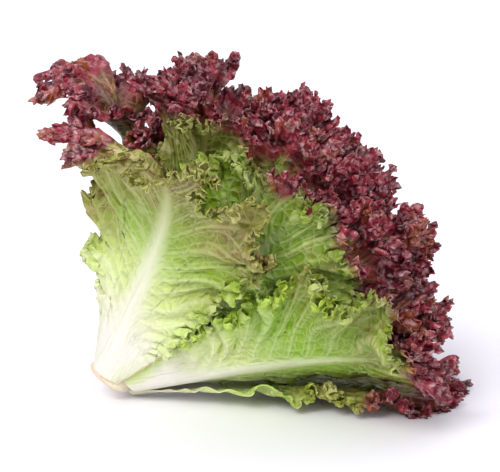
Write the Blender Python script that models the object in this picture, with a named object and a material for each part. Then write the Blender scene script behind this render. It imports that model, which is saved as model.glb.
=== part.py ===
"""Lollo rosso lettuce: one cut head of ruffled leaves round a short stem, lying on its side.

Every leaf is a separate solid that starts at the stem and lies in a layer of its own, so that
ruffled neighbours nest and never cross. Metres, +Z up, the table at z = 0. The cut end of the
stem is at -X and the head opens towards +X and up. The head's own frame has +Z along the stem,
from the cut end to the heart, and +X on the side that lies on the table.
"""

import math

import bmesh
import bpy
import numpy as np

# The head
LEAF_COUNT = 24
AXIS_TILT = math.radians(45.5)  # of the stem above the table
HEAD_PLACE = (-0.0738, -0.0107, 0.0060)  # the centre of the cut end
GOLDEN_ANGLE = math.radians(137.508)  # from one leaf to the next, as they grow
FIRST_LEAF_ANGLE = math.radians(-11.0)  # from straight down, turning to the side that faces -Y

# The stem
STEM_RADIUS = 0.0135  # at the cut end
STEM_TOP_RADIUS = 0.0035
STEM_HEIGHT = 0.050
STEM_SIDES = 20
LOWEST_LEAF_HEIGHT = 0.0035
STEM_GAP = 0.0006  # between the stem and a leaf's foot

# Leaf sizes, for the outermost and for the innermost leaf
RIB_LENGTH = (0.172, 0.134)
HALF_SPAN = (math.radians(38.0), math.radians(44.0))  # round the stem, where a leaf is widest
FOOT_HALF_WIDTH = (0.0120, 0.0045)
FOOT_ANGLE = (math.radians(40.5), math.radians(4.0))  # from the stem's axis, at the foot
TIP_ANGLE = (math.radians(67.0), math.radians(8.0))  # the same at the tip
RUFFLE_WAVES = (14, 9)

# The leaf at the top of the lying head hangs over
HANG_ANGLE = math.radians(158.0)
HANG_CENTRE = math.radians(168.0)
HANG_REACH = math.radians(50.0)

# The side that faces -Y opens less
CLOSED = 0.26  # of the angle from the stem's axis
CLOSED_CENTRE = math.radians(95.0)
CLOSED_REACH = math.radians(42.0)

# Leaf blade
BLADE = 0.0009
RIB_THICKNESS = 0.0036  # over the midrib at the foot
RIB_HALF_WIDTH = 0.0062
RIB_END = 0.80  # of the leaf's length
WIDEST = 0.42  # powers that shape the margin
TAPER = 1.6
REACH = 1.85  # how far a ruffle reaches near the midrib, in steps from leaf to leaf
REACH_FALL = 2.0  # and how much less for every radian past MIDDLE, where neighbours overlap
MIDDLE = math.radians(13.5)
FREE_REACH = 2.7  # outwards, where no leaf lies outside
SAG = (2.8, 0.4)  # how many steps the lowest leaf's far and near flanks sink to the table
SCALLOP = 0.07  # the cut between two lobes of the margin, of the vein's length

# Rows of a leaf, from midrib to margin: (share of the vein's length, segments)
ROWS = ((0.0, 10), (0.28, 12), (0.56, 26), (0.80, 60), (1.0, 60))

# The table presses the lowest leaves flatter
PRESS_HEIGHT = 0.0035
PRESS_SOFTNESS = 0.0075
PRESS_KEEP = 0.34

LEAF_COLOUR = ((0.33, 0.40, 0.09), (0.38, 0.22, 0.08))  # outermost and innermost, with the red rim
STEM_COLOUR = (0.85, 0.80, 0.68)

UPWARDS = np.array((-math.cos(AXIS_TILT), 0.0, math.sin(AXIS_TILT)))  # in the head's own frame

# Six points and weights that integrate a leaf's curve from 0 to 1
_points, _weights = np.polynomial.legendre.leggauss(6)
CURVE_POINTS = (_points + 1) / 2
CURVE_WEIGHTS = _weights / 2


def between(ends, share):
    """The value at this share of the way from the outermost leaf to the innermost."""
    return ends[0] + (ends[1] - ends[0]) * share


def smooth(low, high, value):
    """0 below low, 1 above high, and a smooth step between them."""
    x = np.clip((value - low) / (high - low), 0.0, 1.0)
    return x * x * (3 - 2 * x)


def stem_radius(height):
    """Radius of the stem at this height above the cut end."""
    share = np.clip(height / STEM_HEIGHT, 0.0, 1.0)
    return STEM_RADIUS + (STEM_TOP_RADIUS - STEM_RADIUS) * share**1.3


def layer(step, along, angle):
    """Distance from the stem's axis, and height, of a point on a leaf layer.

    step counts leaves from the outermost, and may be a fraction; along is the distance up the
    leaf; angle is round the stem. Layers of different steps never meet.
    """
    share = step / (LEAF_COUNT - 1)
    height = between((LOWEST_LEAF_HEIGHT, 0.93 * STEM_HEIGHT), share)
    foot = stem_radius(height) + STEM_GAP
    length = between(RIB_LENGTH, share)
    turn = (angle - HANG_CENTRE + math.pi) % (2 * math.pi) - math.pi
    hang = HANG_ANGLE * np.exp(-((turn / HANG_REACH) ** 2)) * np.clip(1 - share, 0, 1) ** 1.3
    turn = (angle - CLOSED_CENTRE + math.pi) % (2 * math.pi) - math.pi
    opened = 1 - CLOSED * np.exp(-((turn / CLOSED_REACH) ** 2))
    lean = between(FOOT_ANGLE, share) * opened
    bend = between(TIP_ANGLE, share) * opened - lean
    out = np.zeros_like(along)
    up = np.zeros_like(along)
    for point, weight in zip(CURVE_POINTS, CURVE_WEIGHTS):
        far = along * point / length
        tangent = lean + bend * far**2 + hang * far**6
        out = out + weight * along * np.sin(tangent)
        up = up + weight * along * np.cos(tangent)
    return foot + out, height + up


def above_table(head_points):
    """Height above the table of points in the head's own frame."""
    return head_points @ UPWARDS + HEAD_PLACE[2]


def pressed(head_points):
    """The points with what lies low on the table pressed flatter, in the head's own frame."""
    height = above_table(head_points)
    x = (height - PRESS_HEIGHT) / PRESS_SOFTNESS
    soft = PRESS_HEIGHT + PRESS_SOFTNESS * np.logaddexp(0.0, x)
    new_height = (1 - PRESS_KEEP) * soft + PRESS_KEEP * height
    return head_points + (new_height - height)[:, None] * UPWARDS


class Leaf:
    """One leaf: its margin, midrib, ruffles and place in the head."""

    def __init__(self, number):
        draw = np.random.default_rng(2527 + number)
        self.number = number
        self.share = number / (LEAF_COUNT - 1)
        self.angle = FIRST_LEAF_ANGLE + GOLDEN_ANGLE * number
        self.length = between(RIB_LENGTH, self.share) * draw.uniform(0.95, 1.03)
        self.waves = round(between(RUFFLE_WAVES, self.share))
        self.shift = draw.uniform(0, 2 * math.pi)
        self.sway = draw.uniform(0, 2 * math.pi, 3)
        self.margin_side, self.margin_along, self.margin_place = self.margin()

    def margin(self):
        """Half of the margin, from the tip to the foot: side, along, and share of its length."""
        widest_out, _ = layer(float(self.number), np.array(0.7 * self.length), self.angle)
        half_width = between(HALF_SPAN, self.share) * float(widest_out)
        foot = between(FOOT_HALF_WIDTH, self.share)
        height = 1 - np.linspace(0, 1, 300) ** 2
        peak = TAPER / (TAPER + WIDEST)
        top = (1 - peak) ** WIDEST * peak**TAPER
        side = half_width * (1 - height) ** WIDEST * height**TAPER / top
        side = side + foot * (1 - height) ** 0.5
        along = self.length * height
        out, _ = layer(float(self.number), along, self.angle)
        side = np.minimum(side, between(HALF_SPAN, self.share) * out)
        step = np.hypot(np.diff(side), np.diff(along))
        place = np.concatenate(([0.0], np.cumsum(step)))
        return side, along, place / place[-1]

    def flat(self, place, vein):
        """(side, along) of the flat leaf. place runs -1 to 1 round the margin from foot to foot,
        0 at the tip, and vein runs 0 to 1 from the midrib to the margin."""
        far = np.abs(place)
        margin_side = np.interp(far, self.margin_place, self.margin_side) * np.sign(place)
        margin_along = np.interp(far, self.margin_place, self.margin_along)
        start = 0.80 * self.length * (1 - far) ** 1.15
        return margin_side * vein, start + (margin_along - start) * vein

    def ruffle(self, place):
        """Height of the ruffles along the margin, from -1 to 1."""
        first, second, third = self.sway
        phase = math.pi * self.waves * (place + 1) + self.shift
        phase = phase + 0.5 * np.sin(5.1 * place + first) + 0.3 * np.sin(11.3 * place + second)
        size = 0.86 + 0.14 * np.sin(7.7 * place + third)
        return size * np.sin(phase)

    def reach(self, turn):
        """How many steps the ruffles may reach inwards and outwards at this turn off the midrib."""
        nested = REACH - REACH_FALL * np.maximum(0.0, np.abs(turn) - MIDDLE)
        nested = nested * (1 - 0.10 * self.share)
        if 0 < self.number < 3:
            free = np.ones_like(turn)
        elif 2 < self.number < 5:
            free = smooth(-0.05, 0.25, turn)
        else:
            free = np.zeros_like(turn)
        return nested, nested + (FREE_REACH - nested) * free

    def head_points(self, place, vein):
        """Points of the leaf's inner face, in the head's own frame."""
        side, along = self.flat(place, vein)
        out, _ = layer(float(self.number), along, self.angle)
        turn = side / out
        inward, outward = self.reach(turn)
        grown = smooth(0.22, 1.0, vein) * smooth(0.10, 0.45, along / self.length)
        curl = (inward - outward) / 2 + (inward + outward) / 2 * self.ruffle(place)
        if self.number == 0:
            curl = curl - np.where(turn < 0, *SAG) * (turn / HALF_SPAN[0]) ** 2
        step = self.number + grown * curl
        out, up = layer(step, along, self.angle + turn)
        angle = self.angle + turn
        return pressed(np.stack((out * np.cos(angle), -out * np.sin(angle), up), axis=1))

    def thickness(self, place, vein):
        """Thickness of the leaf: a thin blade, thick over the midrib and at the foot."""
        side, along = self.flat(place, vein)
        fade = np.clip(1 - along / (RIB_END * self.length), 0.0, 1.0)
        rib = np.exp(-((side / RIB_HALF_WIDTH) ** 2)) * fade**0.8
        small = 1 - 0.45 * self.share
        return BLADE + (RIB_THICKNESS * small - BLADE) * rib


def leaf_rows():
    """Vertices (place, vein) and triangles of a flat leaf, finer towards the margin."""
    spots, rows = [], []
    for vein, segments in ROWS:
        row = []
        for i in range(segments + 1):
            place = 2 * i / segments - 1
            if vein == 0.0 and place > 1e-9:
                row.append(row[segments - i])  # both halves share the midrib
                continue
            row.append(len(spots))
            spots.append((place, vein))
        rows.append(row)
    triangles = []
    for inner, outer in zip(rows, rows[1:]):
        i = j = 0
        while i < len(inner) - 1 or j < len(outer) - 1:
            next_inner = (i + 1) / (len(inner) - 1) if i < len(inner) - 1 else 2.0
            next_outer = (j + 1) / (len(outer) - 1) if j < len(outer) - 1 else 2.0
            if next_inner < next_outer - 1e-9:
                triangles.append((inner[i], inner[i + 1], outer[j]))
                i += 1
            else:
                triangles.append((inner[i], outer[j + 1], outer[j]))
                j += 1
    whole = [t for t in triangles if len(set(t)) == 3]
    return np.array(spots), whole


def material(name, colour, roughness):
    """A plain finish for one piece."""
    made = bpy.data.materials.new(name)
    made.use_nodes = True
    shader = made.node_tree.nodes["Principled BSDF"]
    shader.inputs["Base Color"].default_value = (*colour, 1.0)
    shader.inputs["Roughness"].default_value = roughness
    shader.inputs["Metallic"].default_value = 0.0
    made.diffuse_color = (*colour, 1.0)
    return made


def add_object(name, mesh, finish, head):
    made = bpy.data.objects.new(name, mesh)
    bpy.context.scene.collection.objects.link(made)
    mesh.materials.append(finish)
    made.parent = head
    return made


def add_leaf(number, spots, triangles, head):
    """A leaf's inner face, thickened outwards, with the outer face never below the table."""
    leaf = Leaf(number)
    place, vein = spots[:, 0], spots[:, 1]
    between_lobes = 0.5 - 0.5 * np.cos(np.arange(len(place)) * math.pi)
    cut = np.where(vein == 1.0, vein - SCALLOP * between_lobes, vein)
    inner = leaf.head_points(place, cut)
    corners = np.array(triangles)
    a, b, c = (inner[corners[:, i]] for i in range(3))
    facing = np.cross(b - a, c - a)
    normals = np.zeros_like(inner)
    for i in range(3):
        np.add.at(normals, corners[:, i], facing)
    normals /= np.linalg.norm(normals, axis=1)[:, None]
    outer = inner - normals * leaf.thickness(place, cut)[:, None]
    lift = np.maximum(0.0, -above_table(outer))[:, None] * UPWARDS
    inner, outer = inner + lift, outer + lift

    edges = {}
    for triangle in triangles:
        for i in range(3):
            edge = triangle[i], triangle[(i + 1) % 3]
            if edge[::-1] in edges:
                del edges[edge[::-1]]
            else:
                edges[edge] = True
    count = len(inner)
    faces = list(triangles)
    faces += [(p + count, r + count, q + count) for p, q, r in triangles]
    for p, q in edges:
        faces += [(q, p, p + count), (q, p + count, q + count)]
    name = f"leaf_{number + 1:02d}"
    mesh = bpy.data.meshes.new(name)
    mesh.from_pydata(np.concatenate((inner, outer)).tolist(), [], faces)
    mesh.shade_smooth()
    mesh.set_sharp_from_angle(angle=math.radians(60.0))
    colour = [between(ends, leaf.share) for ends in zip(*LEAF_COLOUR)]
    return add_object(name, mesh, material(name, colour, 0.45), head)


def add_stem(head):
    """The short stem, turned round its axis: a flat cut end, a taper and a rounded top."""
    heights = np.linspace(0.0, STEM_HEIGHT, 9)
    profile = [(stem_radius(h) * (0.93 if h == 0 else 1.0), h) for h in heights]
    profile.append((0.45 * STEM_TOP_RADIUS, STEM_HEIGHT + 0.0025))
    mesh = bpy.data.meshes.new("stem")
    shape = bmesh.new()
    rings = []
    for radius, height in profile:
        angles = [2 * math.pi * i / STEM_SIDES for i in range(STEM_SIDES)]
        ring = [(radius * math.cos(a), radius * math.sin(a), height) for a in angles]
        rings.append([shape.verts.new(p) for p in pressed(np.array(ring))])
    for lower, upper in zip(rings, rings[1:]):
        for i in range(STEM_SIDES):
            j = (i + 1) % STEM_SIDES
            shape.faces.new((lower[i], lower[j], upper[j], upper[i]))
    shape.faces.new(list(reversed(rings[0])))
    shape.faces.new(rings[-1])
    bmesh.ops.triangulate(shape, faces=shape.faces)
    shape.to_mesh(mesh)
    shape.free()
    mesh.shade_smooth()
    mesh.set_sharp_from_angle(angle=math.radians(40.0))
    return add_object("stem", mesh, material("stem", STEM_COLOUR, 0.6), head)


def main():
    for old in list(bpy.data.objects):
        bpy.data.objects.remove(old)
    head = bpy.data.objects.new("head", None)
    bpy.context.scene.collection.objects.link(head)
    head.rotation_euler = (0.0, math.pi / 2 - AXIS_TILT, 0.0)
    head.location = HEAD_PLACE

    add_stem(head)
    spots, triangles = leaf_rows()
    for number in range(LEAF_COUNT):
        add_leaf(number, spots, triangles, head)


main()
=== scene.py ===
"""A cut head of lollo rosso lettuce: its stem and 24 frilled leaves, on a pale floor.

A leaf starts as a copy of a flat blank, a grid that is finer towards the margin. The blank is
measured in two ways: place runs round the margin from foot to foot, with the tip at 0, and vein
runs from the midrib at 0 to the margin at 1. A leaf bends its copy into the layer that it has
between its neighbours, ruffles it in three sizes, and gives it a thickness. Every point keeps
the numbers that the material reads, such as how red or bronze the leaf is there.

Leaves are counted from 0, the outermost and lowest, and their pieces are named from 01.
"""

import math

import bpy
import numpy as np
from bpy.props import FloatProperty, FloatVectorProperty, IntProperty, PointerProperty
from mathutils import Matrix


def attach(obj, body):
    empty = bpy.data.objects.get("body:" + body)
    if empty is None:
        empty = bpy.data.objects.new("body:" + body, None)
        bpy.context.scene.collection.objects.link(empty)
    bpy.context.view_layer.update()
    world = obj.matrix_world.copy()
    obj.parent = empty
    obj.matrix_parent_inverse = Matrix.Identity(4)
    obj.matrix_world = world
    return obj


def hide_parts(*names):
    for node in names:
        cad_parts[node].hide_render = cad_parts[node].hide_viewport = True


bl_info = {
    "name": "Lollo Rosso Lettuce",
    "version": (1, 0, 0),
    "blender": (4, 5, 0),
    "location": "3D View > Sidebar > Lettuce",
    "description": "Builds a cut head of lollo rosso lettuce, leaf by leaf",
    "category": "Add Mesh",
}

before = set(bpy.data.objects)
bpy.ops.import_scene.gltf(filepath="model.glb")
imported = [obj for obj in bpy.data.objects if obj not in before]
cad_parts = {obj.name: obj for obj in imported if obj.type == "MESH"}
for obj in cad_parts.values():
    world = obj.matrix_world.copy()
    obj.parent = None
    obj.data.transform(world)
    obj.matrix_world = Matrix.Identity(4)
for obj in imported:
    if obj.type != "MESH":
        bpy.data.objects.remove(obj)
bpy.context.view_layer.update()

GOLDEN_ANGLE = math.radians(137.508)  # from one leaf to the next, as they grow
LEAF_SEED, DRIFT_SEED, AGE_SEED = 2527, 61, 92940  # each leaf adds its number

# Of the layers that the leaves lie in. A pair is for the outermost leaf and the innermost
FOOT_ANGLE = (math.radians(40.5), math.radians(4.0))  # from the stem's axis, at the foot
TIP_ANGLE = (math.radians(67.0), math.radians(8.0))  # the same at the tip
LOWEST_FOOT = 0.0035  # height of the outermost leaf's foot
HIGHEST_FOOT = 0.93  # of the innermost leaf's foot, as a share of the stem's height
STEM_TOP = 0.0035  # the stem's radius at its top
STEM_GAP = 0.0006  # between the stem and a leaf's foot
HANG_CENTRE, HANG_REACH = math.radians(168.0), math.radians(50.0)  # where tips bend over
CLOSED_CENTRE, CLOSED_REACH = math.radians(95.0), math.radians(42.0)  # where it opens less
PRESS_HEIGHT, PRESS_SOFTNESS, PRESS_KEEP = 0.0035, 0.0075, 0.34  # how the table flattens leaves

# Of a leaf
LENGTH_RANGE = (0.95, 1.03)  # of the usual length
FOOT_HALF_WIDTH = (0.0170, 0.0045)
WIDEST, TAPER = 0.42, 1.6  # powers that shape the margin
RIB_END = 0.80  # where the midrib ends, as a share of the length
HEART_WAVES = 9  # large ruffles round the innermost leaf
REACH, REACH_FALL, MIDDLE = 1.85, 2.0, math.radians(13.5)  # steps, and fewer past the middle
FREE_REACH = 2.7  # steps outwards, where no leaf lies outside
SAG = (2.8, 0.4)  # steps that the lowest leaf's far and near flanks sink to the table
FRILLED = (0.10, 0.34)  # shares of the length over which the frill starts
FRILLED_LOWEST = (0.42, 0.66)  # the same for the lowest leaf, which is smooth under the ribs
LOBE_LENGTH, NOTCH_LENGTH, TOOTH_LENGTH = 0.0310, 0.0072, 0.0027  # of the cuts in the margin
MARGIN_STEPS = 6000  # in which the margin is measured

BLANK_ROWS = 26
DOUBLED_AFTER = (7, 15, 21, 23)  # rows past which a blank has twice as many columns
STEM_SIDES, STEM_RINGS = 72, 40

AIM = (-0.0023, -0.0087, 0.0824)  # what the camera looks at
SENSOR = 36.0  # the camera's, in mm
FLOOR_DROP = 0.0002  # of the floor below what lies on it
SKY, SKY_STRENGTH = (0.97, 0.95, 1.0, 1.0), 0.76
LIGHTS = (  # name, where it shines, its width in degrees, and its strength
    ("key", (0.40, 0.80, -0.75), 32.0, 2.1),
    ("fill", (-0.60, 0.75, -0.25), 60.0, 1.0),
    ("back", (0.10, -0.60, -0.80), 60.0, 0.35),
)

_points, _weights = np.polynomial.legendre.leggauss(6)
CURVE_POINTS = (_points + 1) / 2
CURVE_WEIGHTS = _weights / 2


# Sizes and colours


class HeadSize(bpy.types.PropertyGroup):
    """How big the head is and how its leaves stand."""

    leaves: IntProperty(name="Leaves", description="Number of leaves", default=24, min=3)
    tilt: FloatProperty(
        name="Tilt",
        description="Of the stem's axis above the table",
        default=math.radians(45.5),
        subtype="ANGLE",
    )
    place: FloatVectorProperty(
        name="Cut end",
        description="Centre of the stem's cut end",
        default=(-0.0738, -0.0107, 0.0060),
        subtype="TRANSLATION",
        unit="LENGTH",
    )
    first_angle: FloatProperty(
        name="First leaf",
        description="Turn of the outermost leaf round the stem, from straight down",
        default=math.radians(-11.0),
        subtype="ANGLE",
    )
    rib_outer: FloatProperty(
        name="Outer midrib",
        description="Length of the outermost leaf",
        default=0.172,
        unit="LENGTH",
    )
    rib_inner: FloatProperty(
        name="Inner midrib",
        description="Length of the innermost leaf",
        default=0.134,
        unit="LENGTH",
    )
    span_outer: FloatProperty(
        name="Outer half span",
        description="Half of an outer leaf's width, as a turn round the stem",
        default=math.radians(38.0),
        subtype="ANGLE",
    )
    span_inner: FloatProperty(
        name="Inner half span",
        description="The same for the innermost leaf",
        default=math.radians(44.0),
        subtype="ANGLE",
    )
    hang: FloatProperty(
        name="Hang",
        description="How far the tips at the top of the lying head bend over",
        default=math.radians(158.0),
        subtype="ANGLE",
    )
    closed: FloatProperty(
        name="Closed",
        description="How much less the near side opens, as a share of the leaves' lean",
        default=0.26,
        subtype="FACTOR",
        max=0.5,
    )
    stem_radius: FloatProperty(
        name="Stem radius",
        description="At the cut end",
        default=0.0135,
        unit="LENGTH",
    )
    stem_height: FloatProperty(
        name="Stem height",
        description="From the cut end to the heart",
        default=0.050,
        unit="LENGTH",
    )


class LeafSize(bpy.types.PropertyGroup):
    """The thickness of a leaf and the size of its frills."""

    blade: FloatProperty(
        name="Blade", description="Thickness of the blade", default=0.0009, unit="LENGTH"
    )
    margin: FloatProperty(
        name="Margin",
        description="Thickness at the frilled margin",
        default=0.0006,
        unit="LENGTH",
    )
    rib: FloatProperty(
        name="Rib", description="Thickness of the midrib's foot", default=0.0038, unit="LENGTH"
    )
    rib_half_width: FloatProperty(
        name="Rib half width",
        description="Half of the midrib's width at the foot",
        default=0.0066,
        unit="LENGTH",
    )
    waves: IntProperty(
        name="Ruffles", description="Large ruffles round an outer leaf", default=14
    )
    curl: FloatProperty(
        name="Curl height",
        description="Of the second size of ruffle",
        default=0.0034,
        unit="LENGTH",
    )
    curl_length: FloatProperty(
        name="Curl length", description="From one curl to the next", default=0.0078, unit="LENGTH"
    )
    crimp: FloatProperty(
        name="Crimp height", description="Of the smallest ruffle", default=0.0014, unit="LENGTH"
    )
    crimp_length: FloatProperty(
        name="Crimp length", description="From one crimp to the next", default=0.0033, unit="LENGTH"
    )
    lobes: FloatProperty(
        name="Lobes",
        description="Depth of the large cuts in the margin",
        default=0.0050,
        unit="LENGTH",
    )
    teeth: FloatProperty(
        name="Teeth", description="Depth of the small cuts", default=0.0030, unit="LENGTH"
    )
    pleat: FloatProperty(
        name="Pleat",
        description="Height of the folds along the veins",
        default=0.0019,
        unit="LENGTH",
    )
    vein_gap: FloatProperty(
        name="Vein gap",
        description="Between large veins at the margin",
        default=0.0150,
        unit="LENGTH",
    )


def swatch(name, description, red, green, blue):
    """A colour property with its default given as a painter reads it, 0 to 255."""
    linear = [(part / 255) ** 2.2 for part in (red, green, blue)]
    return FloatVectorProperty(
        name=name, description=description, default=linear, subtype="COLOR", min=0.0, max=1.0
    )


class LeafColours(bpy.types.PropertyGroup):
    """The colours of the leaves, from the foot to the frill."""

    cream: swatch("Cream", "The foot of every leaf", 225, 221, 212)
    pale: swatch("Pale green", "The blade just above the foot", 197, 213, 128)
    fresh: swatch("Fresh green", "The middle of the blade", 133, 175, 16)
    deep: swatch("Deep green", "The blade near the frill", 90, 138, 12)
    frill_green: swatch("Green frill", "The frill near the foot", 176, 208, 48)
    rib: swatch("Rib", "The midrib and the large veins", 208, 216, 168)
    fibre: swatch("Fibre", "Streaks along the foot and the midrib", 190, 197, 138)
    olive: swatch("Olive", "The outermost leaves, next to the frill", 136, 134, 52)
    tan: swatch("Tan", "Veins next to the frill", 186, 178, 112)
    bronze: swatch("Bronze", "Patches between the veins, next to the frill", 118, 68, 48)
    red: swatch("Red", "The frill", 146, 46, 62)
    wine: swatch("Wine", "The darkest parts of the frill", 74, 16, 28)
    # Painted light: warm orange patches standing in for light shining through the frill
    painted_through_light: swatch("Rust", "Warmer patches of the frill", 156, 86, 50)
    # Painted highlight: pale mauve glints standing in for light reflected off the frill's edge
    painted_highlight_mauve: swatch("Mauve", "The palest parts of the frill", 196, 148, 151)
    flesh: swatch("Flesh", "The stem and the blush of the leaves' feet", 228, 210, 198)
    cut: swatch("Cut", "The brown rim of the cut end and of the leaves' feet", 204, 174, 146)


class StageSettings(bpy.types.PropertyGroup):
    """The floor, the light and the camera."""

    floor: swatch("Floor", "The pale floor", 246, 245, 252)
    camera_height: FloatProperty(
        name="Camera angle",
        description="Of the camera above the horizon",
        default=math.radians(12.0),
        subtype="ANGLE",
    )
    camera_distance: FloatProperty(
        name="Camera distance", description="From the head", default=1.5, unit="LENGTH"
    )
    picture_width: FloatProperty(
        name="Picture width", description="What the camera takes in", default=0.250, unit="LENGTH"
    )


# The shape of a leaf


def between(ends, share):
    """The value at this share of the way from the outermost leaf to the innermost."""
    return ends[0] + (ends[1] - ends[0]) * share


def smooth(low, high, value):
    """0 below low, 1 above high, and a smooth step between them."""
    x = np.clip((value - low) / (high - low), 0.0, 1.0)
    return x * x * (3 - 2 * x)


def near(angle, centre, reach):
    """1 at this centre round the stem, and less the further the angle is from it."""
    turn = (angle - centre + math.pi) % (2 * math.pi) - math.pi
    return np.exp(-((turn / reach) ** 2))


def unit(vectors):
    """The vectors, each one metre long."""
    return vectors / np.maximum(np.linalg.norm(vectors, axis=1), 1e-12)[:, None]


class Head:
    """The layers that the leaves lie in, round the stem, in the head's own frame.

    +Z is the stem's axis from the cut end, and +X the side that lies on the table.
    """

    def __init__(self, size):
        self.size = size
        tilt = size.tilt
        self.upwards = np.array((-math.cos(tilt), 0.0, math.sin(tilt)))
        turn = math.pi / 2 - tilt
        self.turned = np.array(
            (
                (math.cos(turn), 0.0, math.sin(turn)),
                (0.0, 1.0, 0.0),
                (-math.sin(turn), 0.0, math.cos(turn)),
            )
        )
        self.place = np.array(size.place)

    def stem_radius(self, height):
        """The stem's radius at this height above the cut end."""
        share = np.clip(height / self.size.stem_height, 0.0, 1.0)
        return self.size.stem_radius + (STEM_TOP - self.size.stem_radius) * share**1.3

    def layer(self, step, along, angle):
        """Distance from the axis, and height, of a point on the layer of this step.

        step counts leaves from the outermost, and may be a fraction. Layers never meet.
        """
        size = self.size
        share = step / (size.leaves - 1)
        height = between((LOWEST_FOOT, HIGHEST_FOOT * size.stem_height), share)
        foot = self.stem_radius(height) + STEM_GAP
        length = between((size.rib_outer, size.rib_inner), share)
        hang = near(angle, HANG_CENTRE, HANG_REACH) * np.clip(1 - share, 0, 1) ** 1.3
        opened = 1 - size.closed * near(angle, CLOSED_CENTRE, CLOSED_REACH)
        lean = between(FOOT_ANGLE, share) * opened
        bend = between(TIP_ANGLE, share) * opened - lean
        out = np.zeros_like(along)
        up = np.zeros_like(along)
        for point, weight in zip(CURVE_POINTS, CURVE_WEIGHTS):
            far = along * point / length
            tangent = lean + bend * far**2 + size.hang * hang * far**6
            out = out + weight * along * np.sin(tangent)
            up = up + weight * along * np.cos(tangent)
        return foot + out, height + up

    def above_table(self, points):
        """Height above the table of points of the head's own frame."""
        return points @ self.upwards + self.place[2]

    def pressed(self, points):
        """The points with what lies low on the table pressed flatter."""
        height = self.above_table(points)
        x = (height - PRESS_HEIGHT) / PRESS_SOFTNESS
        soft = PRESS_HEIGHT + PRESS_SOFTNESS * np.logaddexp(0.0, x)
        lowered = (1 - PRESS_KEEP) * soft + PRESS_KEEP * height
        return points + (lowered - height)[:, None] * self.upwards

    def on_table(self, points):
        """Points of the head's own frame, as they lie on the table."""
        return points @ self.turned.T + self.place


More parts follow.
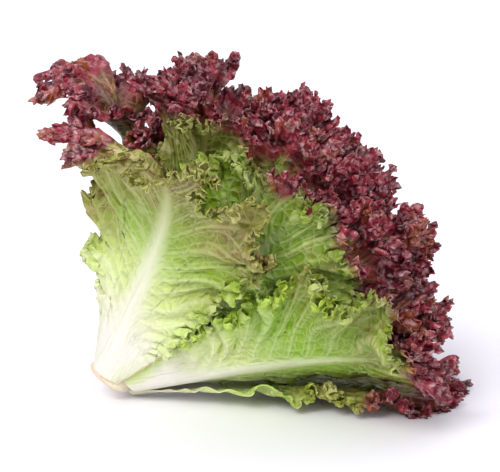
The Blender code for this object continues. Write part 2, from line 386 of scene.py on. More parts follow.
class Leaf:
    """One leaf: its margin, midrib, ruffles and place in the head."""

    def __init__(self, head, leaf_size, number):
        size = head.size
        draw = np.random.default_rng(LEAF_SEED + number)
        self.head, self.leaf_size, self.number = head, leaf_size, number
        self.share = number / (size.leaves - 1)
        self.angle = size.first_angle + GOLDEN_ANGLE * number
        self.length = between((size.rib_outer, size.rib_inner), self.share)
        self.length *= draw.uniform(*LENGTH_RANGE)
        self.waves = round(between((leaf_size.waves, HEART_WAVES), self.share))
        self.shift = draw.uniform(0, 2 * math.pi)
        self.sway = draw.uniform(0, 2 * math.pi, 3)
        self.drift = np.random.default_rng(DRIFT_SEED + number).uniform(0, 2 * math.pi, 16)
        self.span = between((size.span_outer, size.span_inner), self.share)
        self.frilled = FRILLED_LOWEST if number == 0 else FRILLED
        self.margin_side, self.margin_along, self.margin_place = self.margin()

        # Lengths run along the margin from the tip, with its first size of ruffle and with two
        self.run_place = np.linspace(-1, 1, MARGIN_STEPS + 1)
        self.edge_vein = np.ones(MARGIN_STEPS + 1)
        self.runs = {}
        for finest in (1, 2):
            edge = self.surface(self.run_place, np.ones(MARGIN_STEPS + 1), finest)
            step = np.linalg.norm(np.diff(edge, axis=0), axis=1)
            run = np.concatenate(([0.0], np.cumsum(step)))
            self.runs[finest] = run - run[MARGIN_STEPS // 2]
        self.edge_vein = self.cut_margin()

    def margin(self):
        """Half of the margin, from the tip to the foot: side, along, and share of its length."""
        widest_along = np.array(0.7 * self.length)
        widest_out, _ = self.head.layer(float(self.number), widest_along, self.angle)
        half_width = self.span * float(widest_out)
        foot = between(FOOT_HALF_WIDTH, self.share)
        height = 1 - np.linspace(0, 1, 300) ** 2
        peak = TAPER / (TAPER + WIDEST)
        top = (1 - peak) ** WIDEST * peak**TAPER
        side = half_width * (1 - height) ** WIDEST * height**TAPER / top
        side = side + foot * (1 - height) ** 0.5

        # A leaf keeps to its part of the turn round the stem, and has a little more at the foot
        along = self.length * height
        out, _ = self.head.layer(float(self.number), along, self.angle)
        side = np.minimum(side, self.span * out * (1 + 0.15 * smooth(0.60, 0.30, height)))
        step = np.hypot(np.diff(side), np.diff(along))
        place = np.concatenate(([0.0], np.cumsum(step)))
        self.half_margin = place[-1]
        return side, along, place / place[-1]

    def flat(self, place, vein):
        """(side, along, distance from the margin) on the flat leaf."""
        far = np.abs(place)
        margin_side = np.interp(far, self.margin_place, self.margin_side) * np.sign(place)
        margin_along = np.interp(far, self.margin_place, self.margin_along)
        start = RIB_END * self.length * (1 - far) ** 1.15
        vein_length = np.hypot(margin_side, margin_along - start)
        along = start + (margin_along - start) * vein
        edge_vein = np.interp(place, self.run_place, self.edge_vein)
        edge = np.maximum(0.0, edge_vein - vein) * vein_length
        return margin_side * vein, along, edge

    def ruffle(self, place):
        """Phase and height of the large ruffles along the margin."""
        first, second, third = self.sway
        phase = math.pi * self.waves * (place + 1) + self.shift
        phase = phase + 0.5 * np.sin(5.1 * place + first) + 0.3 * np.sin(11.3 * place + second)
        size = 0.86 + 0.14 * np.sin(7.7 * place + third)
        return phase, size * np.sin(phase)

    def reach(self, turn):
        """How many steps the ruffles reach inwards and outwards at this turn off the midrib.

        Nothing lies outside the second and third leaf, nor outside one flank of the two after
        them, so these ruffle further outwards.
        """
        nested = REACH - REACH_FALL * np.maximum(0.0, np.abs(turn) - MIDDLE)
        nested = nested * (1 - 0.10 * self.share)
        if 0 < self.number < 3:
            free = np.ones_like(turn)
        elif 2 < self.number < 5:
            free = smooth(-0.05, 0.25, turn)
        else:
            free = np.zeros_like(turn)
        return nested, nested + (FREE_REACH - nested) * free

    def vein_lines(self, place, vein):
        """Counts the large veins round the leaf: a whole number on each of them."""
        drift = self.drift
        count = place * self.half_margin / self.leaf_size.vein_gap
        sway = 0.35 * np.sin(5 * vein + 9 * place + drift[5]) + 0.25 * np.sin(21 * place + drift[6])
        return count + sway * smooth(0.0, 0.5, vein)

    def frill(self, finest, place, vein):
        """Height and sideways slide of one of the two smaller sizes of ruffle."""
        size, drift = self.leaf_size, self.drift
        _, along, edge = self.flat(place, vein)
        clear = smooth(*self.frilled, along / self.length)
        run = np.interp(place, self.run_place, self.runs[finest - 1])
        if finest == 2:
            phase = 2 * math.pi * run / size.curl_length
            phase = phase + 0.9 * np.sin(31 * run + drift[0]) + 0.7 * np.sin(83 * run + drift[1])
            phase = phase + 1.1 * np.sin(290 * edge + 23 * run + drift[15])  # slants the curls
            grown = smooth(0.021, 0.002, edge) * clear
            grown = grown * (1 + 0.45 * smooth(0.25, 0.50, np.abs(place)))
            vary = 0.8 + 0.30 * np.sin(57 * run + drift[2]) + 0.25 * np.sin(141 * run + drift[3])
            height = size.curl * grown * vary * np.sin(phase)
            slide = -0.28 * size.curl * grown * vary * np.sin(2 * phase)
            folds = np.cos(2 * math.pi * self.vein_lines(place, vein))
            folds = folds * smooth(0.02, 0.40, vein) * smooth(0.03, 0.35, along / self.length)
            folds = folds * (1 - 0.6 * self.share) * (0.7 + 0.3 * np.sin(80 * edge + drift[4]))
            return height - size.pleat * folds, slide  # the veins stand out on the outer face
        phase = 2 * math.pi * run / size.crimp_length
        phase = phase + 1.1 * np.sin(97 * run + drift[7]) + 0.8 * np.sin(211 * run + drift[8])
        grown = smooth(0.013, 0.0005, edge) * clear
        vary = 0.8 + 0.35 * np.sin(173 * run + drift[9])
        slide = -0.25 * size.crimp * grown * np.sin(2 * phase)
        return size.crimp * grown * vary * np.sin(phase), slide

    def surface(self, place, vein, finest):
        """Points of the inner face with its ruffles down to this size, 1 to 3."""
        if finest > 1:
            place = np.clip(place, -1.0, 1.0)
            pace, climb = (0.0015, 0.004) if finest == 2 else (0.0006, 0.003)
            base = self.surface(place, vein, finest - 1)
            after = self.surface(np.minimum(place + pace, 1.0), vein, finest - 1)
            before = self.surface(np.maximum(place - pace, -1.0), vein, finest - 1)
            across = self.surface(place, vein + climb, finest - 1)
            across = across - self.surface(place, vein - climb, finest - 1)
            tangent = unit(after - before)
            normal = unit(np.cross(tangent, across))
            height, slide = self.frill(finest, place, vein)
            return base + normal * height[:, None] + tangent * slide[:, None]
        phase, height = self.ruffle(place)
        side, along, _ = self.flat(place, vein)
        grown = smooth(0.22, 1.0, vein) * smooth(0.10, 0.45, along / self.length)
        slide = -0.34 / (math.pi * self.waves) * np.sin(2 * phase) * grown
        side, along, _ = self.flat(np.clip(place + slide, -1.0, 1.0), vein)
        out, _ = self.head.layer(float(self.number), along, self.angle)
        turn = side / out
        inward, outward = self.reach(turn)
        curl = (inward - outward) / 2 + (inward + outward) / 2 * height
        if self.number == 0:  # its flanks sink to the table
            curl = curl - np.where(turn < 0, *SAG) * (turn / self.head.size.span_outer) ** 2
        if self.number == 6:  # its middle moves outwards too, and not its ruffles alone
            curl = curl * grown - 1.7 * (1 - grown) * smooth(0.03, 0.25, along / self.length)
            grown = 1.0
        angle = self.angle + turn
        out, up = self.head.layer(self.number + grown * curl, along, angle)
        points = np.stack((out * np.cos(angle), -out * np.sin(angle), up), axis=1)
        return self.head.pressed(points)

    def spread(self, column, row):
        """place and vein of the blank's points, with as many columns where a ruffle is long."""
        run = self.runs[2] - self.runs[2][0]
        mixed = 0.75 * run / run[-1] + 0.25 * (self.run_place + 1) / 2
        ruffled = np.interp(column, 2 * mixed - 1, self.run_place)
        vein = 1 - (1 - row) ** 1.5
        return column + (ruffled - column) * smooth(0.02, 0.45, vein), vein

    def cut_margin(self):
        """vein along the margin, with lobes and teeth cut into it."""
        place, run, drift = self.run_place, self.runs[2], self.drift
        side, along, _ = self.flat(place, np.zeros_like(place))
        edge_side, edge_along, _ = self.flat(place, np.ones_like(place))
        vein_length = np.hypot(edge_side, edge_along - along)

        def cuts(length, strength, pace, start):
            phase = 2 * math.pi * run / length + strength * np.sin(pace * run + drift[start])
            return 0.5 + 0.5 * np.sin(phase)

        lobe = cuts(LOBE_LENGTH, 1.7, 40, 10)
        notch = cuts(NOTCH_LENGTH, 1.4, 90, 14)
        tooth = cuts(TOOTH_LENGTH, 1.3, 190, 11)
        depth = self.leaf_size.lobes * (lobe - 0.15)
        depth = depth + self.leaf_size.teeth * (notch**2 + 0.5 * tooth - 0.4)
        depth = depth * smooth(*self.frilled, edge_along / self.length)
        depth = depth * smooth(1.0, 0.45, np.abs(place))
        return 1 - np.clip(depth / np.maximum(vein_length, 1e-4), -0.12, 0.35)

    def cut(self, place, vein):
        """vein, drawn in towards the midrib where the margin is cut."""
        edge_vein = np.interp(place, self.run_place, self.edge_vein)
        return vein * (1 - (1 - edge_vein) * smooth(0.30, 1.0, vein) ** 2)

    def thickness(self, side, along, edge):
        """How thick the leaf is: most at the midrib's foot, and least at the margin."""
        size = self.leaf_size
        fade = np.clip(1 - along / (RIB_END * self.length), 0.0, 1.0)
        rib = np.exp(-((side / size.rib_half_width) ** 2)) * fade**0.8
        blade = size.margin + (size.blade - size.margin) * smooth(0.0, 0.006, edge)
        return blade + (size.rib * (1 - 0.45 * self.share) - blade) * rib


# Making the pieces


def select_only(obj):
    """Deselects everything, then makes this object the selected and active one."""
    bpy.ops.object.select_all(action="DESELECT")
    obj.select_set(True)
    bpy.context.view_layer.objects.active = obj


def settle(piece, slot, *nodes):
    """Puts a finished piece on the head, in place of the plain solids that it stands for."""
    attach(piece, "root")
    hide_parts(*nodes)


def read_points(mesh):
    """The mesh's points, a row of x, y and z for each."""
    spots = np.empty(len(mesh.vertices) * 3, np.float32)
    mesh.vertices.foreach_get("co", spots)
    return spots.reshape(-1, 3).astype(float)


def write_points(mesh, points):
    """Moves the mesh's points."""
    mesh.vertices.foreach_set("co", points.astype(np.float32).ravel())
    mesh.update()


def leaf_blank(name, columns, halved):
    """A flat grid, -1 to 1 round the margin and 0 to 1 from midrib to margin.

    It has twice as many columns past each of four rows, so that it is fine at the margin only.
    If it is halved, all rows past the first of these are halved too.
    """
    bpy.ops.object.select_all(action="DESELECT")
    bpy.ops.mesh.primitive_grid_add(x_subdivisions=columns, y_subdivisions=BLANK_ROWS, size=2)
    blank = bpy.context.object
    blank.name = name
    bpy.ops.object.mode_set(mode="EDIT")
    bpy.ops.mesh.select_all(action="SELECT")
    bpy.ops.transform.resize(value=(1.0, 0.5, 1.0))
    bpy.ops.transform.translate(value=(0.0, 0.5, 0.0))
    # With points selected, the edges between the first level ones are subdivided as well
    bpy.ops.mesh.select_mode(type="VERT" if halved else "EDGE")
    for first in DOUBLED_AFTER:
        bpy.ops.object.mode_set(mode="OBJECT")
        mesh = blank.data
        height = read_points(mesh)[:, 1]
        ends = np.empty(len(mesh.edges) * 2, np.int32)
        mesh.edges.foreach_get("vertices", ends)
        low, high = height[ends[0::2]], height[ends[1::2]]
        level = (np.abs(low - high) < 1e-5) & (low > (first - 0.25) / BLANK_ROWS)
        mesh.vertices.foreach_set("select", np.zeros(len(mesh.vertices), bool))
        mesh.edges.foreach_set("select", level)
        mesh.polygons.foreach_set("select", np.zeros(len(mesh.polygons), bool))
        bpy.ops.object.mode_set(mode="EDIT")
        bpy.ops.mesh.select_mode(type="EDGE")
        bpy.ops.mesh.subdivide(number_cuts=1)
    bpy.ops.object.mode_set(mode="OBJECT")
    return blank


def number_layer(mesh, name, values):
    """Keeps one number for every point of a mesh, for the material to read."""
    layer = mesh.attributes.new(name, "FLOAT", "POINT")
    layer.data.foreach_set("value", np.asarray(values, np.float32))


def colour_layers(mesh, leaf, place, vein, points):
    """Keeps on every point of a leaf the numbers that its material reads."""
    side, along, edge = leaf.flat(place, vein)
    rise = along / leaf.length
    drift = leaf.drift
    wander = 0.006 * np.sin(9 * place + drift[12]) + 0.004 * np.sin(23 * place + drift[13])

    # Leaves redden where the sun reached them: far enough from the stem's foot, a little further
    # on the near side, and less far at the highest hanging tips
    depth = points[:, 1]
    sunlit = np.sqrt(points[:, 0] ** 2 + points[:, 2] ** 2 + np.maximum(depth, 0.0) ** 2)
    upper = smooth(0.02, -0.02, depth) * smooth(-0.015, -0.050, points[:, 0])
    sunlit = sunlit + 0.2 * np.minimum(depth, 0.0) - 0.012 * upper
    sunlit = sunlit + 0.028 * upper * smooth(-0.078, -0.102, points[:, 0])
    hangs = float(near(leaf.angle, math.pi, 0.5))
    sunlit = np.maximum(sunlit, 0.165 * rise * max(leaf.share**0.5, hangs)) + wander
    red = smooth(0.038 + 0.035 * hangs, 0.014 + 0.025 * hangs, edge + wander)
    red = red * smooth(0.118, 0.138, sunlit)

    # The more a leaf has aged, the wider it is bronzed and the less green its frill is
    aged = np.random.default_rng(AGE_SEED + leaf.number).uniform(0.25, 1.0)
    bronze = smooth(0.045 + 0.090 * aged, 0.026, edge + wander) * (0.3 + 0.7 * aged)
    bronze = bronze * smooth(0.098 - 0.045 * aged, 0.146 - 0.045 * aged, sunlit)
    flank = smooth(0.128, 0.100, sunlit) * smooth(0.020, 0.002, edge) * min(1.0, 1.2 - aged)
    width = leaf.leaf_size.rib_half_width * (1.15 - 0.92 * rise)
    rib = np.exp(-((side / width) ** 2)) * smooth(0.98, 0.55, rise)
    for name, values in (
        ("rise", rise),
        ("rib", rib),
        ("red", red),
        ("bronze", bronze),
        ("edge", edge * 100),  # in cm
        ("inner", np.ones(len(rise))),
        ("lines", leaf.vein_lines(place, vein)),
        ("across", side * 1000),  # in mm
        ("flank", flank),
        ("outermost", np.full(len(rise), 1 - leaf.share)),
    ):
        number_layer(mesh, name, values)


def shape_leaf(blank, head, leaf_size, number, finish):
    """Copies the blank, bends it into leaf number and makes it solid."""
    leaf = Leaf(head, leaf_size, number)
    piece = blank.copy()
    piece.data = blank.data.copy()
    piece.name = piece.data.name = f"lettuce_leaf_{number + 1:02d}"
    bpy.context.scene.collection.objects.link(piece)
    mesh = piece.data
    column, row, _ = read_points(mesh).T
    row = np.clip(row, 0.0, 1.0)
    place, vein = leaf.spread(np.clip(column, -1.0, 1.0), row)
    vein = leaf.cut(place, vein)
    points = leaf.surface(place, vein, 3)
    write_points(mesh, points)
    colour_layers(mesh, leaf, place, vein, points)
    group = piece.vertex_groups.new(name="thickness")
    shares = leaf.thickness(*leaf.flat(place, vein)) / leaf_size.rib
    for i, value in enumerate(shares.tolist()):
        group.add((i,), value, "REPLACE")

    # Both halves of the blank meet at the midrib, where their points become one
    select_only(piece)
    bpy.ops.object.mode_set(mode="EDIT")
    bpy.ops.mesh.select_mode(type="VERT")
    bpy.ops.mesh.select_all(action="DESELECT")
    bpy.ops.object.mode_set(mode="OBJECT")
    mesh.vertices.foreach_set("select", row < 1e-6)
    bpy.ops.object.mode_set(mode="EDIT")
    bpy.ops.mesh.remove_doubles(threshold=0.00002)
    bpy.ops.object.mode_set(mode="OBJECT")
    sheet = len(mesh.vertices)
    solid = piece.modifiers.new("Thickness", "SOLIDIFY")
    solid.thickness = leaf_size.rib
    solid.offset = -1.0
    solid.vertex_group = group.name
    bpy.ops.object.modifier_apply(modifier=solid.name)

    # The first half of the points is the inner face and the second the outer. Where the outer
    # one would be under the table, both rise by as much
    points = head.on_table(read_points(mesh))
    if len(points) == 2 * sheet:
        low = np.maximum(0.0, -points[sheet:, 2])
        points[:sheet, 2] += low
        points[sheet:, 2] += low
        inner = np.concatenate((np.ones(sheet), np.zeros(sheet)))
        mesh.attributes["inner"].data.foreach_set("value", inner.astype(np.float32))
    points[:, 2] = np.maximum(points[:, 2], 0.0)
    write_points(mesh, points)
    bpy.ops.object.shade_smooth_by_angle(angle=math.radians(70.0))
    mesh.materials.clear()
    mesh.materials.append(finish)
    settle(piece, "leaf", f"leaf_{number + 1:02d}")


class Finish:
    """Short ways to build a material's nodes."""

    def __init__(self, name):
        self.material = bpy.data.materials.get(name) or bpy.data.materials.new(name)
        self.material.use_nodes = True
        self.tree = self.material.node_tree
        self.tree.nodes.clear()
        self.output = self.tree.nodes.new("ShaderNodeOutputMaterial")
        self.shader = self.tree.nodes.new("ShaderNodeBsdfPrincipled")
        self.join(self.shader.outputs["BSDF"], self.output.inputs["Surface"])

    def join(self, source, socket):
        """Links a node's output to the socket, or sets the socket to a plain value."""
        if isinstance(source, bpy.types.NodeSocket):
            self.tree.links.new(source, socket)
        else:
            socket.default_value = source

    def number(self, name):
        """The number of this name that every point keeps."""
        node = self.tree.nodes.new("ShaderNodeAttribute")
        node.attribute_name = name
        return node.outputs["Fac"]

    def count(self, operation, first, second, third=None):
        """A sum done by one Math node."""
        node = self.tree.nodes.new("ShaderNodeMath")
        node.operation = operation
        self.join(first, node.inputs[0])
        self.join(second, node.inputs[1])
        if third is not None:
            self.join(third, node.inputs[2])
        return node.outputs[0]

    def times(self, first, second):
        return self.count("MULTIPLY", first, second)

    def larger(self, first, second):
        return self.count("MAXIMUM", first, second)

    def mix(self, share, first, second):
        """The first colour, with this share of the second."""
        node = self.tree.nodes.new("ShaderNodeMix")
        node.data_type = "RGBA"
        node.clamp_factor = True
        self.join(share, node.inputs[0])
        for value, socket in ((first, node.inputs[6]), (second, node.inputs[7])):
            if not isinstance(value, bpy.types.NodeSocket):
                value = (*tuple(value)[:3], 1.0)
            self.join(value, socket)
        return node.outputs[2]

    def step(self, value, low, high, start=0.0, end=1.0):
        """start where the value is low, end where it is high, and a smooth step between."""
        node = self.tree.nodes.new("ShaderNodeMapRange")
        node.interpolation_type = "SMOOTHSTEP"
        self.join(value, node.inputs["Value"])
        ends = {"From Min": low, "From Max": high, "To Min": start, "To Max": end}
        for name, amount in ends.items():
            node.inputs[name].default_value = amount
        return node.outputs["Result"]

    def noise(self, vector, scale, detail=3.0, rough=0.55):
        node = self.tree.nodes.new("ShaderNodeTexNoise")
        self.join(vector, node.inputs["Vector"])
        node.inputs["Scale"].default_value = scale
        node.inputs["Detail"].default_value = detail
        node.inputs["Roughness"].default_value = rough
        return node.outputs["Fac"]

    def spot(self, x, y, z):
        """A place for a pattern, made of three numbers."""
        node = self.tree.nodes.new("ShaderNodeCombineXYZ")
        for value, socket in zip((x, y, z), node.inputs):
            self.join(value, socket)
        return node.outputs[0]

    def cells(self, vector, scale):
        """How far it is to the wall of the nearest cell."""
        node = self.tree.nodes.new("ShaderNodeTexVoronoi")
        node.feature = "DISTANCE_TO_EDGE"
        self.join(vector, node.inputs["Vector"])
        node.inputs["Scale"].default_value = scale
        return node.outputs["Distance"]

    def bump(self, height, distance, strength, under=None):
        node = self.tree.nodes.new("ShaderNodeBump")
        self.join(height, node.inputs["Height"])
        node.inputs["Distance"].default_value = distance
        node.inputs["Strength"].default_value = strength
        if under is not None:
            self.join(under, node.inputs["Normal"])
        return node.outputs["Normal"]


def leaf_finish(colours):
    """Cream at the foot, green in the blade, bronze and then dark red at the frill, with veins."""
    make = Finish("lettuce_leaf")
    position = make.tree.nodes.new("ShaderNodeTexCoord").outputs["Object"]
    rise, lines = make.number("rise"), make.number("lines")
    broad = make.noise(position, 24.0)
    fine = make.noise(position, 160.0, 4.0)

    # Large veins fork halfway to the margin, with a net of small ones between them
    trunk = make.step(make.count("PINGPONG", lines, 0.5), 0.15, 0.02)
    doubled = make.count("MULTIPLY_ADD", lines, 2.0, 0.5)
    fork = make.step(make.count("PINGPONG", doubled, 0.5), 0.16, 0.02)
    fork = make.times(fork, make.step(rise, 0.35, 0.60, 0.0, 0.7))
    cell = make.cells(position, 165.0)
    net = make.step(cell, 0.11, 0.01, 0.0, 0.55)
    small = make.step(make.cells(position, 480.0), 0.10, 0.0, 0.0, 0.25)
    veins = make.larger(make.larger(trunk, fork), make.larger(net, small))
    rib = make.number("rib")
    veins = make.times(veins, make.step(rib, 0.05, 0.45, 1.0, 0.0))
    pale = make.larger(rib, make.times(veins, 0.33))

    # Fibres run up the foot and the midrib
    fibre_place = make.spot(
        make.times(make.number("across"), 0.9),
        make.times(rise, 5.0),
        make.times(make.number("outermost"), 40.0),
    )
    fibres = make.noise(fibre_place, 1.0, 3.0, 0.6)
    near_foot = make.larger(make.step(rise, 0.10, 0.50, 1.0, 0.0), rib)

    # The blade greens from the foot up, and its stalk and veins stay paler
    tone = make.count("MULTIPLY_ADD", broad, 0.22, make.count("SUBTRACT", rise, 0.11))
    blade = make.mix(make.step(tone, 0.10, 0.38), colours.cream, colours.pale)
    blade = make.mix(make.step(tone, 0.34, 0.62), blade, colours.fresh)
    blade = make.mix(make.step(tone, 0.58, 0.95), blade, colours.deep)
    blade = make.mix(make.number("flank"), blade, colours.frill_green)
    stalk = make.mix(make.step(rise, 0.12, 0.75), colours.cream, colours.rib)
    green = make.mix(pale, blade, stalk)
    shaded = make.times(make.step(fibres, 0.50, 0.68), near_foot)
    green = make.mix(make.times(shaded, 0.45), green, colours.fibre)
    blush = make.times(make.step(fibres, 0.46, 0.30), make.step(rise, 0.0, 0.34, 0.55, 0.0))
    green = make.mix(blush, green, colours.flesh)
    edge = make.number("edge")
    browned = make.times(make.step(edge, 0.22, 0.03), make.step(rise, 0.34, 0.12))
    green = make.mix(make.times(browned, 0.6), green, colours.cut)

    # Next to the frill it turns olive and blotched with bronze, between tan veins
    between_veins = make.count("SUBTRACT", 1.0, make.times(pale, 0.9))
    bronze = make.times(make.number("bronze"), between_veins)
    blotch = make.step(make.cells(position, 105.0), 0.03, 0.20, 0.15, 1.0)
    blotch = make.times(blotch, make.step(make.noise(position, 38.0), 0.42, 0.60, 0.15, 1.0))
    olive = make.times(bronze, make.number("outermost"))
    body = make.mix(olive, green, colours.olive)
    body = make.mix(make.times(make.times(bronze, blotch), 0.85), body, colours.bronze)
    ribs = make.times(make.larger(veins, rib), make.number("bronze"))
    body = make.mix(make.times(ribs, 0.85), body, colours.tan)

    # The frill is mottled, with warm patches of painted light shining through it and painted
    # highlights in pale mauve at its edge, and bronzed further in
    red = make.count("ADD", make.number("red"), make.count("MULTIPLY_ADD", fine, 0.5, -0.25))
    red = make.times(make.step(red, 0.15, 0.70), make.step(make.number("red"), 0.0, 0.12))
    wine = make.step(make.noise(position, 130.0), 0.36, 0.62)
    frill = make.mix(wine, colours.wine, colours.red)
    # Painted light: warm patches where light would shine through the frill
    painted_through_light = make.step(make.noise(position, 42.0), 0.53, 0.67, 0.0, 0.75)
    frill = make.mix(painted_through_light, frill, colours.painted_through_light)
    # Painted highlights: pale mauve glints, most at the frill's edge
    painted_glints = make.step(make.noise(position, 310.0, 4.0), 0.48, 0.66, 0.0, 0.75)
    painted_glints = make.times(painted_glints, make.step(edge, 2.0, 0.7, 0.15, 1.0))
    frill = make.mix(painted_glints, frill, colours.painted_highlight_mauve)
    inside = make.step(edge, 1.2, 2.8, 0.0, 0.65)
    bronzed = make.times(inside, make.step(broad, 0.35, 0.60, 0.4, 1.0))
    frill = make.mix(bronzed, frill, colours.bronze)
    inside = make.times(inside, make.larger(veins, rib))
    frill = make.mix(make.times(inside, 0.7), frill, colours.tan)
    make.join(make.mix(red, body, frill), make.shader.inputs["Base Color"])

    make.join(make.step(fine, 0.2, 0.8, 0.32, 0.50), make.shader.inputs["Roughness"])
    make.shader.inputs["Specular IOR Level"].default_value = 0.50
    make.shader.inputs["Subsurface Weight"].default_value = 0.20
    make.shader.inputs["Subsurface Radius"].default_value = (1.0, 0.9, 0.7)
    make.shader.inputs["Subsurface Scale"].default_value = 0.0012

    # The blade swells between its veins towards the inner face, and hollows on the outer
    swell = make.times(veins, -0.4)
    swell = make.count("MULTIPLY_ADD", make.step(cell, 0.0, 0.4), 0.8, swell)
    swell = make.times(swell, make.count("MULTIPLY_ADD", make.number("inner"), 2.0, -1.0))
    swell = make.times(swell, make.step(near_foot, 0.2, 0.9, 1.0, 0.15))
    swell = make.count("ADD", swell, make.times(fibres, make.times(near_foot, 0.7)))
    coarse = make.bump(swell, 0.0012, 0.8)
    grain = make.bump(make.noise(position, 420.0), 0.0003, 0.5, coarse)
    make.join(grain, make.shader.inputs["Normal"])
    return make.material


def stem_finish(colours):
    """Moist pale flesh with a fine grain, browned at the rim of the cut."""
    make = Finish("lettuce_stem")
    position = make.tree.nodes.new("ShaderNodeTexCoord").outputs["Object"]
    broad = make.noise(position, 90.0)
    fine = make.noise(position, 700.0, 5.0)
    brown = make.times(make.number("brown"), make.step(broad, 0.3, 0.6, 0.4, 1.0))
    flesh = make.mix(make.step(fine, 0.35, 0.7, 0.0, 0.45), colours.flesh, colours.pale)
    make.join(make.mix(brown, flesh, colours.cut), make.shader.inputs["Base Color"])
    make.join(make.step(broad, 0.3, 0.7, 0.38, 0.6), make.shader.inputs["Roughness"])
    make.shader.inputs["Subsurface Weight"].default_value = 0.3
    make.shader.inputs["Subsurface Radius"].default_value = (1.0, 0.9, 0.75)
    make.shader.inputs["Subsurface Scale"].default_value = 0.003
    make.join(make.bump(fine, 0.0006, 0.6), make.shader.inputs["Normal"])
    return make.material


def floor_finish(stage):
    """A pale matt floor, very slightly uneven in tone."""
    make = Finish("pale_floor")
    position = make.tree.nodes.new("ShaderNodeTexCoord").outputs["Object"]
    darker = [part * 0.985 for part in stage.floor]
    tone = make.mix(make.noise(position, 3.0), darker, stage.floor)
    make.join(tone, make.shader.inputs["Base Color"])
    make.shader.inputs["Roughness"].default_value = 0.7
    return make.material


# Operators


class LETTUCE_OT_stem(bpy.types.Operator):
    """Turn the short stem, with its cut end and the scars of lower leaves"""

    bl_idname = "lettuce.stem"
    bl_label = "Stem"

    def execute(self, context):
        size = context.scene.lettuce_head
        head = Head(size)
        bpy.ops.object.select_all(action="DESELECT")
        bpy.ops.mesh.primitive_circle_add(
            vertices=STEM_SIDES, radius=size.stem_radius, fill_type="TRIFAN"
        )
        stem = context.object
        stem.name = stem.data.name = "lettuce_stem"
        bpy.ops.object.mode_set(mode="EDIT")
        bpy.ops.mesh.select_all(action="SELECT")
        bpy.ops.mesh.inset(thickness=0.0012)
        bpy.ops.mesh.inset(thickness=0.004)
        bpy.ops.mesh.select_all(action="DESELECT")
        bpy.ops.object.mode_set(mode="OBJECT")
        mesh = stem.data
        for edge in mesh.edges:
            ends = [mesh.vertices[i].co.length for i in edge.vertices]
            edge.select = min(ends) > size.stem_radius - 1e-6
        bpy.ops.object.mode_set(mode="EDIT")
        bpy.ops.mesh.select_mode(type="EDGE")
        for _ in range(STEM_RINGS):
            bpy.ops.mesh.extrude_edges_move(
                TRANSFORM_OT_translate={"value": (0.0, 0.0, size.stem_height / STEM_RINGS)}
            )
        bpy.ops.mesh.fill()
        bpy.ops.mesh.select_all(action="SELECT")
        bpy.ops.mesh.normals_make_consistent(inside=False)
        bpy.ops.object.mode_set(mode="OBJECT")

        # It narrows upwards, uneven with scars, with a rounded lip and a slightly hollow cut end
        points = read_points(mesh)
        out = np.hypot(points[:, 0], points[:, 1])
        turn = np.arctan2(points[:, 1], points[:, 0])
        height = points[:, 2]
        shrink = (head.stem_radius(height) - 0.00025) / size.stem_radius
        scar = 0.018 * np.sin(3 * turn + 1.0) + 0.010 * np.sin(7 * turn + 900 * height)
        shrink = shrink * (1 - np.abs(scar) * smooth(0.0, 0.004, height))
        rim = out > size.stem_radius - 1e-5
        lip = np.where((height < 1e-6) & rim, 0.94, 1.0)
        points[:, 0] *= shrink * lip
        points[:, 1] *= shrink * lip
        points[:, 2] += np.where(height < 1e-6, 0.0009 * (1 - (out / size.stem_radius) ** 2), 0.0)
        browned = smooth(0.78, 0.98, out / size.stem_radius) * smooth(0.0025, 0.0, height)
        number_layer(mesh, "brown", browned)
        points = head.on_table(head.pressed(points))
        points[:, 2] = np.maximum(points[:, 2], 0.0)
        write_points(mesh, points)
        select_only(stem)
        bpy.ops.object.shade_smooth_by_angle(angle=math.radians(40.0))
        mesh.materials.append(stem_finish(context.scene.lettuce_colours))
        settle(stem, "stem", "stem")
        return {"FINISHED"}


class LeafGroup:
    """Makes the leaves from one number up to another, from one blank."""

    def execute(self, context):
        scene = context.scene
        head = Head(scene.lettuce_head)
        finish = bpy.data.materials.get("lettuce_leaf") or leaf_finish(scene.lettuce_colours)
        blank = leaf_blank("leaf_blank", self.columns, self.halved)
        for number in range(self.first, min(self.last, scene.lettuce_head.leaves)):
            shape_leaf(blank, head, scene.lettuce_leaf, number, finish)
        bpy.data.objects.remove(blank)
        return {"FINISHED"}


class LETTUCE_OT_outer_leaves(LeafGroup, bpy.types.Operator):
    """Make the large outer leaves"""

    bl_idname = "lettuce.outer_leaves"
    bl_label = "Outer Leaves"
    first, last, columns, halved = 0, 14, 74, False


class LETTUCE_OT_heart_leaves(LeafGroup, bpy.types.Operator):
    """Make the smaller leaves of the heart"""

    bl_idname = "lettuce.heart_leaves"
    bl_label = "Heart Leaves"
    first, last, columns, halved = 14, 24, 48, True


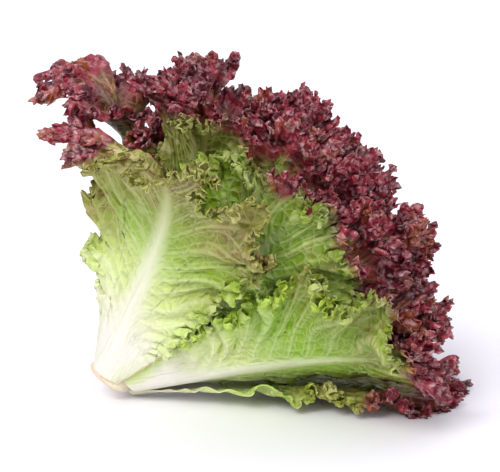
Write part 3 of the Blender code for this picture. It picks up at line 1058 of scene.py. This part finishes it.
class LETTUCE_OT_stage(bpy.types.Operator):
    """Set the floor, the soft studio light and the camera"""

    bl_idname = "lettuce.stage"
    bl_label = "Stage"

    def execute(self, context):
        scene = context.scene
        stage = scene.lettuce_stage
        bpy.ops.object.select_all(action="DESELECT")
        bpy.ops.mesh.primitive_plane_add(size=8.0, location=(0.0, 0.0, -FLOOR_DROP))
        floor = context.object
        floor.name = "floor"
        floor.data.materials.append(floor_finish(stage))

        world = scene.world or bpy.data.worlds.new("World")
        scene.world = world
        world.use_nodes = True
        sky = world.node_tree.nodes["Background"]
        sky.inputs["Color"].default_value = SKY
        sky.inputs["Strength"].default_value = SKY_STRENGTH
        for name, shines, angle, strength in LIGHTS:
            bpy.ops.object.light_add(type="SUN", location=(0.0, 0.0, 1.0))
            light = context.object
            light.name = name
            light.data.angle = math.radians(angle)
            light.data.energy = strength
            x, y, z = np.array(shines) / np.linalg.norm(shines)
            light.rotation_euler = (math.acos(-z), 0.0, math.atan2(-x, y))

        low = stage.camera_height
        back_off = np.array((0.0, -math.cos(low), math.sin(low))) * stage.camera_distance
        bpy.ops.object.camera_add(
            location=tuple(AIM + back_off), rotation=(math.pi / 2 - low, 0.0, 0.0)
        )
        camera = context.object
        camera.data.sensor_width = SENSOR
        camera.data.lens = SENSOR * stage.camera_distance / stage.picture_width
        camera.data.clip_start = 0.05
        scene.camera = camera
        scene.view_settings.view_transform = "Standard"
        return {"FINISHED"}


class LETTUCE_PT_panel(bpy.types.Panel):
    """Lists the pieces of the lettuce with their sizes and colours"""

    bl_idname = "LETTUCE_PT_panel"
    bl_label = "Lollo Rosso Lettuce"
    bl_space_type = "VIEW_3D"
    bl_region_type = "UI"
    bl_category = "Lettuce"

    def draw(self, context):
        for operator in (
            LETTUCE_OT_stem,
            LETTUCE_OT_outer_leaves,
            LETTUCE_OT_heart_leaves,
            LETTUCE_OT_stage,
        ):
            self.layout.operator(operator.bl_idname)
        for name in GROUPS:
            box = self.layout.box()
            group = getattr(context.scene, name)
            for prop in group.__annotations__:
                box.prop(group, prop)


GROUPS = {
    "lettuce_head": HeadSize,
    "lettuce_leaf": LeafSize,
    "lettuce_colours": LeafColours,
    "lettuce_stage": StageSettings,
}
CLASSES = (
    *GROUPS.values(),
    LETTUCE_OT_stem,
    LETTUCE_OT_outer_leaves,
    LETTUCE_OT_heart_leaves,
    LETTUCE_OT_stage,
    LETTUCE_PT_panel,
)


def register():
    for cls in CLASSES:
        bpy.utils.register_class(cls)
    for name, group in GROUPS.items():
        setattr(bpy.types.Scene, name, PointerProperty(type=group))


def unregister():
    for name in GROUPS:
        delattr(bpy.types.Scene, name)
    for cls in reversed(CLASSES):
        bpy.utils.unregister_class(cls)


def main():
    register()
    bpy.ops.lettuce.stem()
    bpy.ops.lettuce.outer_leaves()
    bpy.ops.lettuce.heart_leaves()
    bpy.ops.lettuce.stage()


if __name__ == "__main__":
    main()
